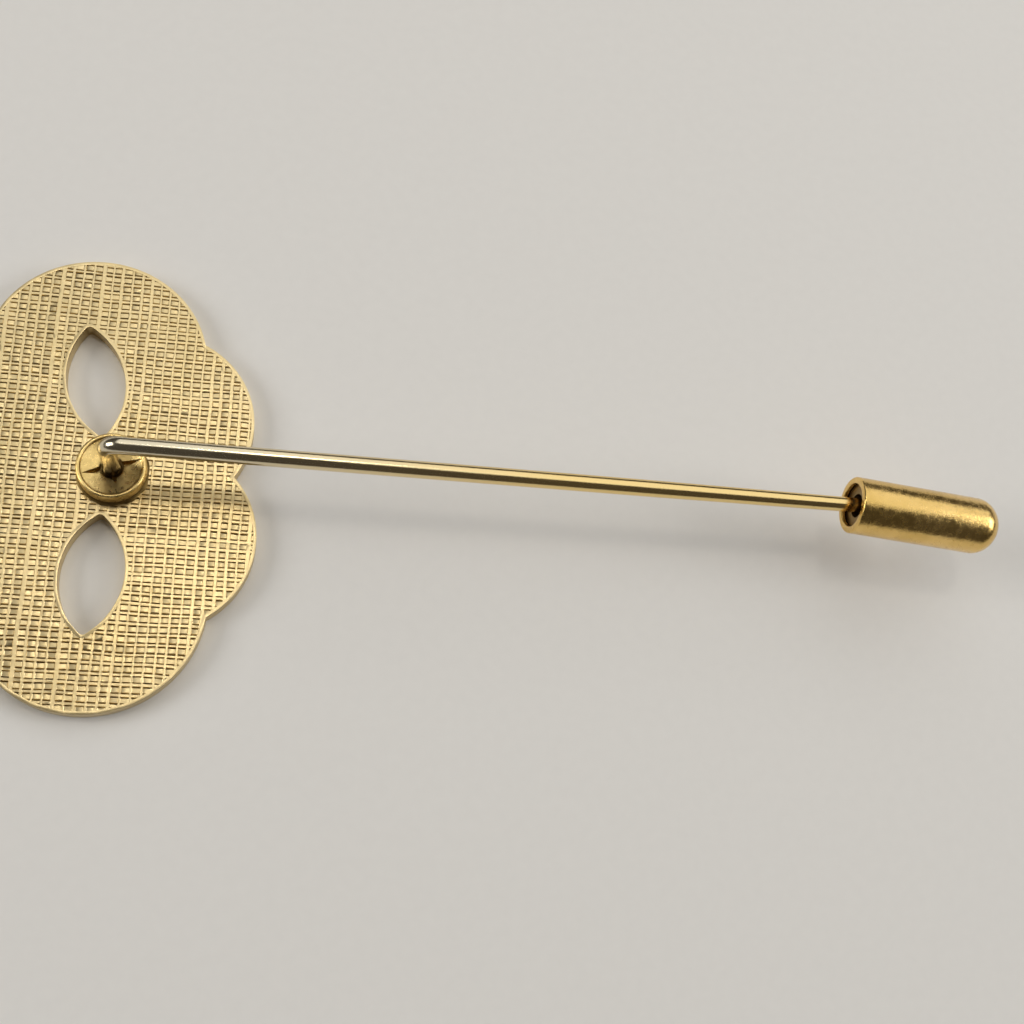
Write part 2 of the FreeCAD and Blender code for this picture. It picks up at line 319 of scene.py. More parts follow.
def finish_piece(piece, name, body, material, replaces=(), smooth_deg=35.0):
    """Names a piece, shades it, gives it its material and hangs it on its body."""
    only(piece)
    bpy.ops.object.shade_smooth_by_angle(angle=math.radians(smooth_deg))
    piece.name = name
    piece.data.name = name
    piece.data.materials.clear()
    piece.data.materials.append(material)
    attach(piece, body)
    if replaces:
        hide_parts(*replaces)


# --- materials --------------------------------------------------------------------------------------------
def add_node(tree, kind, inputs=None, **settings):
    """Adds a node, with its settings, and fills or links its inputs."""
    made = tree.nodes.new(kind)
    for name, value in settings.items():
        setattr(made, name, value)
    for key, value in (inputs or {}).items():
        if isinstance(value, bpy.types.NodeSocket):
            tree.links.new(value, made.inputs[key])
        else:
            made.inputs[key].default_value = value
    return made


MIX_FACTOR, MIX_A, MIX_B, MIX_RESULT = 0, 6, 7, 2


def new_material(name, **constants):
    """A material with its shader and object coordinates. Constants go on the shader's own sockets."""
    made = bpy.data.materials.new(name)
    made.use_nodes = True
    tree = made.node_tree
    tree.nodes.clear()
    shader = add_node(tree, "ShaderNodeBsdfPrincipled", constants)
    add_node(tree, "ShaderNodeOutputMaterial", {"Surface": shader.outputs["BSDF"]})
    where = add_node(tree, "ShaderNodeTexCoord").outputs["Object"]
    return made, tree, shader, where


def into_shader(tree, shader, tone, rough, bump):
    """Links a finish's colour, roughness and bump to its shader."""
    tree.links.new(tone.outputs[MIX_RESULT], shader.inputs["Base Color"])
    tree.links.new(rough.outputs["Result"], shader.inputs["Roughness"])
    tree.links.new(bump.outputs["Normal"], shader.inputs["Normal"])


def per_metre(millimetres):
    """Noise scale whose features are about this many millimetres apart."""
    return 1.0 / (millimetres * MM)


def stamped_gold():
    """Stamped brass, flash plated with pale gold: satin on the ridges, painted brown shade down in the
    grooves.
    """
    finish = bpy.context.scene.stick_pin_finish
    hatch = bpy.context.scene.stick_pin_hatch
    made, tree, shader, where = new_material("gold_flashed_brass", Metallic=1.0)
    height = add_node(tree, "ShaderNodeSeparateXYZ", {"Vector": where}).outputs["Z"]
    low = PLATE_BACK - hatch.depth
    # Painted shade: the colour darkens with depth below the ridges, towards the groove colour, for the shade
    # down in the grooves.
    depth_shade = add_node(tree, "ShaderNodeMapRange", {"Value": height, "From Min": PLATE_BACK - 0.03 * MM,
                                                    "From Max": low, "To Min": 0.0, "To Max": 1.0})
    # The front's floors lie far below the back, so the painted groove shade is kept to the hatching's own
    # depth.
    near_back = add_node(tree, "ShaderNodeMath", {0: height, 1: low - 0.05 * MM}, operation="GREATER_THAN")
    shade_in_groove = add_node(tree, "ShaderNodeMath", {0: depth_shade.outputs["Result"], 1: near_back.outputs[0]},
                         operation="MULTIPLY")
    cloud = add_node(tree, "ShaderNodeTexNoise", {"Vector": where, "Scale": per_metre(3.0), "Detail": 3.0})
    grain = add_node(tree, "ShaderNodeTexNoise", {"Vector": where, "Scale": per_metre(0.12), "Detail": 2.0})
    worn = add_node(tree, "ShaderNodeHueSaturation", {"Color": finish.head_gold, "Saturation": 1.15,
                                                      "Value": 0.82})
    gold = add_node(tree, "ShaderNodeMix", {MIX_FACTOR: cloud.outputs["Fac"], MIX_A: finish.head_gold,
                                            MIX_B: worn.outputs["Color"]}, data_type="RGBA")
    full = add_node(tree, "ShaderNodeMix", {MIX_FACTOR: shade_in_groove.outputs[0], MIX_A: gold.outputs[MIX_RESULT],
                                            MIX_B: finish.head_groove_shade}, data_type="RGBA")
    rough = add_node(tree, "ShaderNodeMapRange", {"Value": grain.outputs["Fac"], "To Min": 0.26,
                                                  "To Max": 0.42})
    bump = add_node(tree, "ShaderNodeBump", {"Height": grain.outputs["Fac"], "Strength": 0.25,
                                             "Distance": 0.01 * MM})
    into_shader(tree, shader, full, rough, bump)
    return made


def polished_gold(name, gold, low_rough, high_rough, wear_mm, wear_depth):
    """Gold plate on polished brass: a clear mirror, clouded here and there by fine rubbing marks."""
    made, tree, shader, where = new_material(name, Metallic=1.0)
    cloud = add_node(tree, "ShaderNodeTexNoise", {"Vector": where, "Scale": per_metre(2.2), "Detail": 4.0})
    rub = add_node(tree, "ShaderNodeTexNoise", {"Vector": where, "Scale": per_metre(wear_mm), "Detail": 5.0,
                                                "Roughness": 0.65})
    worn = add_node(tree, "ShaderNodeHueSaturation", {"Color": gold, "Saturation": 1.08, "Value": 0.8})
    patch = add_node(tree, "ShaderNodeMapRange", {"Value": cloud.outputs["Fac"], "From Min": 0.35,
                                                  "From Max": 0.75})
    tone = add_node(tree, "ShaderNodeMix", {MIX_FACTOR: patch.outputs["Result"], MIX_A: gold,
                                            MIX_B: worn.outputs["Color"]}, data_type="RGBA")
    rough = add_node(tree, "ShaderNodeMapRange", {"Value": rub.outputs["Fac"], "From Min": 0.3,
                                                  "From Max": 0.7, "To Min": low_rough,
                                                  "To Max": high_rough})
    bump = add_node(tree, "ShaderNodeBump", {"Height": rub.outputs["Fac"], "Strength": 0.35,
                                             "Distance": wear_depth * MM})
    into_shader(tree, shader, tone, rough, bump)
    return made


def drawn_wire():
    """Gold-plated steel wire, drawn and polished: thin and silvery near the bend, a fuller gold beyond."""
    finish = bpy.context.scene.stick_pin_finish
    made, tree, shader, where = new_material("gold_plated_wire", Metallic=1.0)
    place = add_node(tree, "ShaderNodeSeparateXYZ", {"Vector": where})
    share = add_node(tree, "ShaderNodeMapRange", {"Value": place.outputs["X"], "From Min": 4.0 * MM,
                                                  "From Max": 28.0 * MM})
    plated = add_node(tree, "ShaderNodeMix", {MIX_FACTOR: share.outputs["Result"], MIX_A: finish.wire_steel,
                                              MIX_B: finish.wire_gold}, data_type="RGBA")
    # Painted shade: the post is darkened brown from its foot to about half way up, for the shade and dark
    # reflection it shows there.
    foot_shade = add_node(tree, "ShaderNodeMapRange", {"Value": place.outputs["Z"],
                                                  "From Min": PLATE_BACK + 4.0 * MM,
                                                  "From Max": PLATE_BACK + 2.4 * MM})
    tone = add_node(tree, "ShaderNodeMix", {MIX_FACTOR: foot_shade.outputs["Result"],
                                            MIX_A: plated.outputs[MIX_RESULT], MIX_B: finish.wire_foot_shade},
                    data_type="RGBA")
    # Draw marks run along the wire, so the noise is stretched along it.
    stretched = add_node(tree, "ShaderNodeMapping", {"Vector": where, "Scale": (0.06, 1.0, 1.0)})
    marks = add_node(tree, "ShaderNodeTexNoise", {"Vector": stretched.outputs["Vector"],
                                                  "Scale": per_metre(0.12), "Detail": 3.0})
    rough = add_node(tree, "ShaderNodeMapRange", {"Value": marks.outputs["Fac"], "To Min": 0.12,
                                                  "To Max": 0.26})
    bump = add_node(tree, "ShaderNodeBump", {"Height": marks.outputs["Fac"], "Strength": 0.2,
                                             "Distance": 0.004 * MM})
    into_shader(tree, shader, tone, rough, bump)
    return made


def dull_metal(name, tone, low_rough, high_rough, grain_mm):
    """Unpolished metal, such as plated solder or bare spring strip: no mirror, uneven tone."""
    made, tree, shader, where = new_material(name, Metallic=1.0)
    grain = add_node(tree, "ShaderNodeTexNoise", {"Vector": where, "Scale": per_metre(grain_mm),
                                                  "Detail": 4.0})
    dark = add_node(tree, "ShaderNodeHueSaturation", {"Color": tone, "Value": 0.5})
    mixed = add_node(tree, "ShaderNodeMix", {MIX_FACTOR: grain.outputs["Fac"], MIX_A: tone,
                                             MIX_B: dark.outputs["Color"]}, data_type="RGBA")
    rough = add_node(tree, "ShaderNodeMapRange", {"Value": grain.outputs["Fac"], "To Min": low_rough,
                                                  "To Max": high_rough})
    bump = add_node(tree, "ShaderNodeBump", {"Height": grain.outputs["Fac"], "Strength": 0.5,
                                             "Distance": 0.02 * MM})
    into_shader(tree, shader, mixed, rough, bump)
    return made


def soft_enamel(name, tone):
    """Baked soft enamel: a deep gloss over a slightly rippled surface, with tiny specks of pigment."""
    made, tree, shader, where = new_material(name, Metallic=0.0, IOR=1.5)
    shader.inputs["Coat Weight"].default_value = 0.6
    shader.inputs["Coat Roughness"].default_value = 0.04
    speck = add_node(tree, "ShaderNodeTexNoise", {"Vector": where, "Scale": per_metre(0.25), "Detail": 3.0})
    ripple = add_node(tree, "ShaderNodeTexNoise", {"Vector": where, "Scale": per_metre(1.2), "Detail": 2.0})
    deep = add_node(tree, "ShaderNodeHueSaturation", {"Color": tone, "Value": 0.8})
    mixed = add_node(tree, "ShaderNodeMix", {MIX_FACTOR: speck.outputs["Fac"], MIX_A: tone,
                                             MIX_B: deep.outputs["Color"]}, data_type="RGBA")
    rough = add_node(tree, "ShaderNodeMapRange", {"Value": speck.outputs["Fac"], "To Min": 0.12,
                                                  "To Max": 0.24})
    bump = add_node(tree, "ShaderNodeBump", {"Height": ripple.outputs["Fac"], "Strength": 0.3,
                                             "Distance": 0.03 * MM})
    into_shader(tree, shader, mixed, rough, bump)
    return made


def pale_card():
    """Pale matt card for the floor."""
    tone = bpy.context.scene.stick_pin_studio.floor_colour
    made, tree, shader, where = new_material("pale_card", Roughness=0.85)
    fibre = add_node(tree, "ShaderNodeTexNoise", {"Vector": where, "Scale": per_metre(0.8), "Detail": 3.0})
    shade = add_node(tree, "ShaderNodeHueSaturation", {"Color": tone, "Value": 0.96})
    mixed = add_node(tree, "ShaderNodeMix", {MIX_FACTOR: fibre.outputs["Fac"], MIX_A: tone,
                                             MIX_B: shade.outputs["Color"]}, data_type="RGBA")
    tree.links.new(mixed.outputs[MIX_RESULT], shader.inputs["Base Color"])
    return made


# --- head -------------------------------------------------------------------------------------------------
def lobes():
    """Radius, distance ahead and distance out of each lobe, under the name of the enamel that fills it."""
    head = bpy.context.scene.stick_pin_head
    return {
        "enamel_side_left": head.side_left,
        "enamel_side_right": head.side_right,
        "enamel_lower_left": head.lower_left,
        "enamel_lower_right": head.lower_right,
        "enamel_top": head.top,
    }


def scalloped_blank(inset, low, high):
    """The head's outline as one solid, drawn in by a margin."""
    blank = None
    for radius, ahead, out in lobes().values():
        disc = drum(radius - inset, low, high, at=(ahead, out), sides=192)
        if blank is None:
            blank = disc
        else:
            combine(blank, disc, "UNION")
    return blank


def almond_half_width(along, half_length, half_width, tip):
    """Half the opening's width at a distance along it: a side arc, then a rounded tip."""
    tip_centre = half_length - tip
    reach = half_width - tip
    side_arc = (tip_centre ** 2 + reach ** 2) / (2 * reach)
    offset = side_arc - reach
    along = min(abs(along), half_length)
    touch = (side_arc + tip) * math.sin(math.atan2(tip_centre, offset))
    if along > touch:
        return math.sqrt(max(tip ** 2 - (along - tip_centre) ** 2, 0.0))
    return math.sqrt((side_arc + tip) ** 2 - along ** 2) - offset


def almond_plugs(grow, low, high):
    """Solids that fill the two openings, with a margin."""
    head = bpy.context.scene.stick_pin_head
    plugs = []
    for (long, wide, ahead, out), splay in ((head.almond_left, head.almond_left_splay),
                                            (head.almond_right, head.almond_right_splay)):
        half_length = long / 2 + grow
        plug = drum(1.0, low, high, sides=120)
        for vertex in plug.data.vertices:
            along = vertex.co.y * half_length
            width = almond_half_width(along, half_length, wide / 2 + grow, head.almond_tip + grow)
            vertex.co.x = math.copysign(width, vertex.co.x) if abs(vertex.co.x) > 1e-6 else 0.0
            vertex.co.y = along
        plug.rotation_euler.z = splay
        plug.location = (ahead, out, 0)
        set_down(plug)
        plugs.append(plug)
    return plugs


def cell_block(name, grow, low, high):
    """The hollow of one enamel cell. It keeps half a wall clear of the line shared with each other lobe."""
    head = bpy.context.scene.stick_pin_head
    radius, ahead, out = lobes()[name]
    block = drum(radius - head.rim + grow, low, high, at=(ahead, out), sides=192)
    here = Vector((ahead, out, 0))
    for other, (other_radius, other_ahead, other_out) in lobes().items():
        if other == name:
            continue
        along = Vector((other_ahead, other_out, 0)) - here
        gap = along.length
        reach = (gap ** 2 + radius ** 2 - other_radius ** 2) / (2 * gap) - head.wall / 2 + grow
        only(block)
        bpy.ops.object.mode_set(mode="EDIT")
        bpy.ops.mesh.select_all(action="SELECT")
        bpy.ops.mesh.bisect(plane_co=here + along.normalized() * reach, plane_no=along.normalized(),
                            use_fill=True, clear_outer=True, threshold=FINE_CUT)
        bpy.ops.object.mode_set(mode="OBJECT")
    combine(block, drum(head.boss - grow, low - MM, high + MM), "DIFFERENCE")
    for plug in almond_plugs(head.almond_rim - grow, low - MM, high + MM):
        combine(block, plug, "DIFFERENCE")
    return block


def turn_with_head(piece):
    piece.rotation_euler.z = bpy.context.scene.stick_pin_head.turn
    set_down(piece)


def hatch_lines():
    """Where a tile's lines lie, from its middle: edge of the pip, bottom of the groove, edge of the ridge."""
    hatch = bpy.context.scene.stick_pin_hatch
    columns = [hatch.pitch / 2 - hatch.column_ridge / 2 - reach * hatch.side_slope for reach in (2, 1, 0)]
    rows = [hatch.pitch / 2 - hatch.row_ridge / 2 - reach * hatch.row_slope for reach in (2, 1, 0)]
    return columns, rows


def hatch_tile():
    """One tile of the hatching: half ridges round its edge, a groove inside them, a pip in the middle."""
    hatch = bpy.context.scene.stick_pin_hatch
    clear_selection()
    bpy.ops.mesh.primitive_plane_add(size=hatch.pitch, location=(0, 0, 0))
    tile = bpy.context.active_object
    set_down(tile)
    columns, rows = hatch_lines()
    bpy.ops.object.mode_set(mode="EDIT")
    for lines, across in ((columns, Vector((1, 0, 0))), (rows, Vector((0, 1, 0)))):
        for line in lines:
            for side in (1, -1):
                bpy.ops.mesh.select_all(action="SELECT")
                bpy.ops.mesh.bisect(plane_co=across * line * side, plane_no=across, threshold=FINE_CUT)
    bpy.ops.object.mode_set(mode="OBJECT")
    for vertex in tile.data.vertices:
        x, y = abs(vertex.co.x), abs(vertex.co.y)
        beside_column = abs(x - columns[1]) < 0.2 * hatch.side_slope and y < rows[1] * 1.01
        beside_row = abs(y - rows[1]) < 0.2 * hatch.row_slope and x < columns[1] * 1.01
        if beside_row:
            vertex.co.z = -hatch.depth
        elif beside_column:
            vertex.co.z = -hatch.depth * (1 - hatch.shallow)
    return tile


def wander(sheet, columns, rows):
    """Unevenness of the stamped hatching: ridges wander and differ in width, pips sit askew, grooves fill."""
    hatch = bpy.context.scene.stick_pin_hatch
    column_lines, row_lines = hatch_lines()
    pip_x, pip_y = column_lines[0] * 1.05, row_lines[0] * 1.05
    draw = random.Random(SEED)
    column_shift = [draw.uniform(-0.4, 0.4) * hatch.wobble for _ in range(columns + 1)]
    column_wide = [draw.choice((-0.7, -0.5, -0.3, 0.1, 0.6)) * hatch.wobble for _ in range(columns + 1)]
    row_shift = [draw.uniform(-0.35, 0.35) * hatch.wobble for _ in range(rows + 1)]
    row_wide = [draw.uniform(-0.35, 0.3) * hatch.wobble for _ in range(rows + 1)]
    # The draws go to the vertices in mesh order, which can change from run to run, and the hatching with it.
    for vertex in sheet.data.vertices:
        x, y = vertex.co.x / hatch.pitch, vertex.co.y / hatch.pitch
        column, row = math.floor(x + 0.5), math.floor(y + 0.5)
        inner_x, inner_y = vertex.co.x - column * hatch.pitch, vertex.co.y - row * hatch.pitch
        right, upper = inner_x > 0, inner_y > 0
        near_column = min(max(column + right, 0), columns)
        near_row = min(max(row + upper, 0), rows)
        if vertex.co.z < -0.1 * hatch.depth:
            vertex.co.z *= draw.uniform(0.55, 1.1)
        else:
            vertex.co.z -= draw.uniform(0.0, 0.08) * hatch.depth
        if abs(inner_x) > pip_x:
            vertex.co.x += column_shift[near_column]
            if abs(inner_x) < 0.49 * hatch.pitch:
                vertex.co.x += column_wide[near_column] * (-1 if right else 1)
        else:
            vertex.co.x += draw.uniform(-0.25, 0.25) * hatch.wobble
        if abs(inner_y) > pip_y:
            vertex.co.y += row_shift[near_row]
            if abs(inner_y) < 0.49 * hatch.pitch:
                vertex.co.y += row_wide[near_row] * (-1 if upper else 1)
        else:
            vertex.co.y += draw.uniform(-0.3, 0.3) * hatch.wobble
            vertex.co.z -= draw.uniform(0.0, 0.2) * hatch.depth * (abs(inner_x) < pip_x)
        drift = noise.noise_vector(Vector((x, y, 0.0)) * 0.23)
        vertex.co.x += drift.x * hatch.wobble * 1.5
        vertex.co.y += drift.y * hatch.wobble * 1.5


def hatched_slab():
    """A slab that fills the hatched field of the back: tiles in rows and columns, made solid downwards."""
    hatch = bpy.context.scene.stick_pin_hatch
    sheet = hatch_tile()
    columns = math.ceil((PLATE_HIGH.x - PLATE_LOW.x) / hatch.pitch) + 2
    rows = math.ceil((PLATE_HIGH.y - PLATE_LOW.y) / hatch.pitch) + 2
    for count, offset in ((columns, (hatch.pitch, 0, 0)), (rows, (0, hatch.pitch, 0))):
        modify(sheet, "ARRAY", count=count, use_relative_offset=False, use_constant_offset=True,
               constant_offset_displace=offset, use_merge_vertices=True, merge_threshold=0.001 * MM)
    wander(sheet, columns, rows)
    sheet.location = (PLATE_LOW.x - hatch.pitch / 2, PLATE_LOW.y - hatch.pitch / 2, PLATE_BACK - HAIR)
    set_down(sheet)
    bpy.ops.object.mode_set(mode="EDIT")
    bpy.ops.mesh.select_all(action="SELECT")
    bpy.ops.mesh.extrude_region_move(TRANSFORM_OT_translate={"value": (0, 0, -2 * hatch.depth)})
    bpy.ops.transform.resize(value=(1, 1, 0))
    close_mesh(merge=False)
    return sheet


def hatch_field(margin, low, high):
    """The hatched part of the back: the outline less a border, and less one round each opening."""
    field = scalloped_blank(margin, low, high)
    for plug in almond_plugs(margin, low - MM, high + MM):
        combine(field, plug, "DIFFERENCE")
    turn_with_head(field)
    return field


class HeadPlate(bpy.types.Operator):
    """Stamped head: scalloped, pierced by two almonds, walled for enamel on the front, hatched on the back"""
    bl_idname = "stick_pin.head_plate"
    bl_label = "Head plate"

    def execute(self, context):
        head = context.scene.stick_pin_head
        hatch = context.scene.stick_pin_hatch
        plate = scalloped_blank(0.0, PLATE_LOW.z, PLATE_BACK)
        for plug in almond_plugs(0.0, PLATE_LOW.z - MM, PLATE_BACK + MM):
            combine(plate, plug, "DIFFERENCE")
        for name in lobes():
            cell = cell_block(name, 0.0, PLATE_LOW.z - MM, PLATE_LOW.z + head.cell_depth)
            combine(plate, cell, "DIFFERENCE")
        turn_with_head(plate)
        floor = PLATE_BACK - 1.5 * hatch.depth
        combine(plate, hatch_field(hatch.border, floor, PLATE_BACK + MM), "DIFFERENCE")
        modify(plate, "BEVEL", width=head.edge_round, segments=3, limit_method="ANGLE",
               angle_limit=math.radians(40))
        overlap = 0.03 * MM
        slab = hatched_slab()
        combine(slab, hatch_field(hatch.border - overlap, floor - MM, PLATE_BACK + MM), "INTERSECT")
        combine(plate, slab, "UNION")
        finish_piece(plate, "stamped_head", "pin", stamped_gold(), ["badge_plate"],
                     smooth_deg=28)
        return {"FINISHED"}


class Enamel(bpy.types.Operator):
    """Soft enamel in the five cells of the front, rounded off where it meets its walls"""
    bl_idname = "stick_pin.enamel"
    bl_label = "Enamel"

    def execute(self, context):
        head = context.scene.stick_pin_head
        finish = context.scene.stick_pin_finish
        tones = {"side": soft_enamel("soft_enamel_side", finish.enamel_side),
                 "lower": soft_enamel("soft_enamel_lower", finish.enamel_lower),
                 "top": soft_enamel("soft_enamel_top", finish.enamel_top)}
        surface = PLATE_LOW.z + head.enamel_recess
        for name in lobes():
            fill = cell_block(name, HAIR, surface, PLATE_LOW.z + head.cell_depth)
            modify(fill, "BEVEL", width=head.enamel_round, segments=3, limit_method="ANGLE",
                   angle_limit=math.radians(60))
            turn_with_head(fill)
            kind = name.split("_")[1]
            finish_piece(fill, name + "_fill", "pin", tones[kind], [name], smooth_deg=50)
        return {"FINISHED"}


# --- pad, solder and needle -------------------------------------------------------------------------------
class Pad(bpy.types.Operator):
    """Dished pad with a rolled lip, a centre hole and the slits left by staking the wire"""
    bl_idname = "stick_pin.pad"
    bl_label = "Pad"

    def execute(self, context):
        pad = context.scene.stick_pin_pad
        top = PAD_HIGH.z
        radius = (PAD_HIGH.x - PAD_LOW.x) / 2
        half_lip = pad.lip / 2
        lip_centre = (radius - half_lip, top - half_lip)
        dish_edge = radius - pad.lip
        hole_round = 0.05 * MM
        rings = [(pad.hole_radius, PLATE_BACK), (pad.foot_radius, PLATE_BACK)]
        rings += [(pad.foot_radius + 0.6 * (radius - pad.foot_radius), PLATE_BACK + 0.45 * pad.foot_height),
                  (radius - HAIR, PLATE_BACK + pad.foot_height)]
        rings += arc(lip_centre, half_lip, 0, 180, 10)
        fall = lip_centre[1] - (PLATE_BACK + pad.dish_floor)
        for step in range(1, 10):
            share = step / 10
            rings.append((dish_edge + (pad.hole_radius - dish_edge) * share,
                          lip_centre[1] - fall * (0.6 * share + 0.4 * math.sin(share * math.pi / 2))))
        rings += arc((pad.hole_radius + hole_round, PLATE_BACK + pad.dish_floor - hole_round), hole_round,
                     90, 180, 3)
        rings.append((pad.hole_radius, PLATE_BACK))
        piece = turned(rings, sides=128, closed=True)
        floor = PLATE_BACK + pad.slit_floor
        for long, turn in ((pad.slit_length, pad.slit_turn),
                           (pad.cross_slit_length, pad.slit_turn + math.pi / 2)):
            slit = drum(1.0, floor, top + MM, sides=4)
            slit.scale = (long / 2, pad.slit_width / 2, 1)
            slit.rotation_euler.z = turn
            set_down(slit)
            combine(piece, slit, "DIFFERENCE")
        modify(piece, "BEVEL", width=0.03 * MM, segments=2, limit_method="ANGLE",
               angle_limit=math.radians(35))
        finish = context.scene.stick_pin_finish
        gold = polished_gold("gold_plated_pad", finish.pad_gold, 0.2, 0.44, 0.35, 0.05)
        finish_piece(piece, "dished_pad", "pin", gold, ["pin_pad"])
        return {"FINISHED"}


class Solder(bpy.types.Operator):
    """Solder run round the foot of the pad, and the braze round the wire in the pad's hole"""
    bl_idname = "stick_pin.solder"
    bl_label = "Solder"

    def execute(self, context):
        pad = context.scene.stick_pin_pad
        needle = context.scene.stick_pin_needle
        metal = dull_metal("plated_solder", context.scene.stick_pin_finish.solder, 0.35, 0.6, 0.3)
        under_foot, sunk, bite, dip = 0.25 * MM, 0.02 * MM, 0.05 * MM, 0.1 * MM
        inner = pad.foot_radius - under_foot
        outer = pad.foot_radius + pad.solder_reach
        rings = [(inner, PLATE_BACK - sunk), (outer, PLATE_BACK - sunk)]
        for step in range(1, 8):
            share = step / 8
            rings.append((outer - (outer - pad.foot_radius) * share,
                          PLATE_BACK + pad.solder_height * (1 - math.cos(share * math.pi / 2))))
        rings += [(pad.foot_radius, PLATE_BACK + pad.solder_height), (inner, PLATE_BACK + pad.solder_height)]
        ring = turned(rings + rings[:1], sides=96, closed=True)
        for vertex in ring.data.vertices:
            radius = math.hypot(vertex.co.x, vertex.co.y)
            if radius > pad.foot_radius:
                run = noise.noise(Vector((vertex.co.x, vertex.co.y, 3.0 * MM)) / (0.9 * MM))
                share = 1 + 0.07 * run * (radius - pad.foot_radius) / pad.solder_reach
                vertex.co.x *= share
                vertex.co.y *= share
        finish_piece(ring, "solder_run", "pin", metal, ["pad_solder"])
        bead_top = PLATE_BACK + pad.braze_height
        in_wire, in_hole = needle.radius - bite, pad.hole_radius + sunk
        bead = turned([(in_wire, PLATE_BACK), (in_hole, PLATE_BACK), (in_hole, bead_top - 0.8 * dip),
                       ((pad.hole_radius + needle.radius) / 2, bead_top - dip),
                       (needle.radius, bead_top), (in_wire, bead_top), (in_wire, PLATE_BACK)],
                      sides=64, closed=True)
        finish_piece(bead, "foot_bead", "pin", metal, ["foot_braze"])
        return {"FINISHED"}


class Needle(bpy.types.Operator):
    """Bent wire: a short post, a tight bend, a long straight shank and a slow taper to the point"""
    bl_idname = "stick_pin.needle"
    bl_label = "Needle"

    def execute(self, context):
        needle = context.scene.stick_pin_needle
        height = NEEDLE_HIGH.z - needle.radius
        foot = PLATE_BACK + HAIR
        clear_selection()
        bpy.ops.mesh.primitive_circle_add(vertices=64, radius=needle.radius, location=(0, 0, foot),
                                          fill_type="NGON")
        piece = context.active_object
        set_down(piece)
        bpy.ops.object.mode_set(mode="EDIT")
        bpy.ops.mesh.select_mode(type="FACE")
        bpy.ops.mesh.select_all(action="SELECT")
        post = height - needle.bend
        bpy.ops.mesh.extrude_region_move(TRANSFORM_OT_translate={"value": (0, 0, post - foot)})
        bpy.ops.mesh.spin(steps=18, angle=-math.pi / 2, center=(needle.bend, 0, post), axis=(0, 1, 0))
        tip_x = NEEDLE_HIGH.x
        taper_end = tip_x - needle.point
        taper_start = taper_end - needle.taper
        # The slow taper has one more ring, a little before its end.
        late, late_loss = 4 * MM, 0.056 * MM
        stations = [(taper_start, needle.radius), (taper_end - late, needle.radius - late_loss),
                    (taper_end, needle.taper_radius),
                    (tip_x - 0.7 * needle.point, 0.8 * needle.taper_radius),
                    (tip_x - 0.35 * needle.point, 0.48 * needle.taper_radius),
                    (tip_x - needle.tip, needle.tip),
                    (tip_x - 0.3 * needle.tip, 0.7 * needle.tip),
                    (tip_x, 0.12 * needle.tip)]
        x, radius = needle.bend, needle.radius
        for next_x, next_radius in stations:
            bpy.ops.mesh.extrude_region_move(TRANSFORM_OT_translate={"value": (next_x - x, 0, 0)})
            share = next_radius / radius
            bpy.ops.transform.resize(value=(1, share, share), center_override=(next_x, 0, height))
            x, radius = next_x, next_radius
        close_mesh()
        finish_piece(piece, "bent_needle", "pin", drawn_wire(), ["needle"])
        return {"FINISHED"}


# --- end protector ----------------------------------------------------------------------------------------
def onto_cap(piece):
    """From the protector's own axis (+Z into it, mouth at zero) to its place on the needle."""
    piece.rotation_mode = "QUATERNION"
    piece.rotation_quaternion = CAP_AXIS.to_track_quat("Z", "Y")
    piece.location = CAP_MOUTH
    set_down(piece)


def sleeve_places():
    """Front, back and gripping land of the sleeve along the protector's axis, and its outer radius."""
    cap = bpy.context.scene.stick_pin_cap
    front = cap.lip_depth + cap.sleeve_play
    back = front + cap.sleeve_length
    return front, back, front + cap.land_at, cap.radius - cap.wall - cap.sleeve_gap


class GripSleeve(bpy.types.Operator):
    """Split spring sleeve: a flange in the mouth, fingers waisted onto the wire, and a flared tail"""
    bl_idname = "stick_pin.grip_sleeve"
    bl_label = "Grip sleeve"

    def execute(self, context):
        cap = context.scene.stick_pin_cap
        front, back, land, outer = sleeve_places()
        land_end = land + cap.land
        off_axis = land_end * CAP_AXIS.cross(Vector((1, 0, 0))).length
        waist = cap.land_radius + off_axis + cap.sleeve_wall
        flange_in = cap.sleeve_mouth
        edge, blend = 0.06 * MM, 0.3 * MM
        rings = [(flange_in, front), (outer - edge, front), (outer, front + edge),
                 (outer, front + cap.flange), (flange_in + cap.sleeve_wall, front + cap.flange),
                 (waist + edge, land - blend), (waist, land), (waist, land_end),
                 (waist + edge, land_end + blend), (outer, back - cap.flange),
                 (outer, back - edge), (outer - edge, back), (outer - cap.sleeve_wall, back),
                 (outer - cap.sleeve_wall, back - cap.flange), (cap.land_radius + off_axis, land_end),
                 (cap.land_radius, land_end), (cap.land_radius, land), (flange_in, front + cap.flange),
                 (flange_in, front)]
        piece = turned(rings, sides=96, closed=True)
        tall = back - front
        for index in range(4):
            whole = index == 3
            low = front - MM if whole else front + cap.flange
            high = back + MM if whole else back - cap.flange
            slot = drum(1.0, low, high, sides=4)
            slot.scale = (outer * 2, cap.slot / 2, 1)
            slot.location.x = outer * 2
            set_down(slot)
            slot.rotation_euler.z = index * math.pi / 2 + math.pi
            set_down(slot)
            combine(piece, slot, "DIFFERENCE")
        onto_cap(piece)
        way = drum(cap.land_radius, 0.0, 2 * tall, sides=64)
        way.rotation_euler.y = math.pi / 2
        way.location = CAP_MOUTH
        set_down(way)
        combine(piece, way, "DIFFERENCE")
        metal = dull_metal("spring_bronze", context.scene.stick_pin_finish.spring, 0.28, 0.5, 0.4)
        finish_piece(piece, "spring_sleeve", "grip", metal, ["grip_sleeve"])
        return {"FINISHED"}


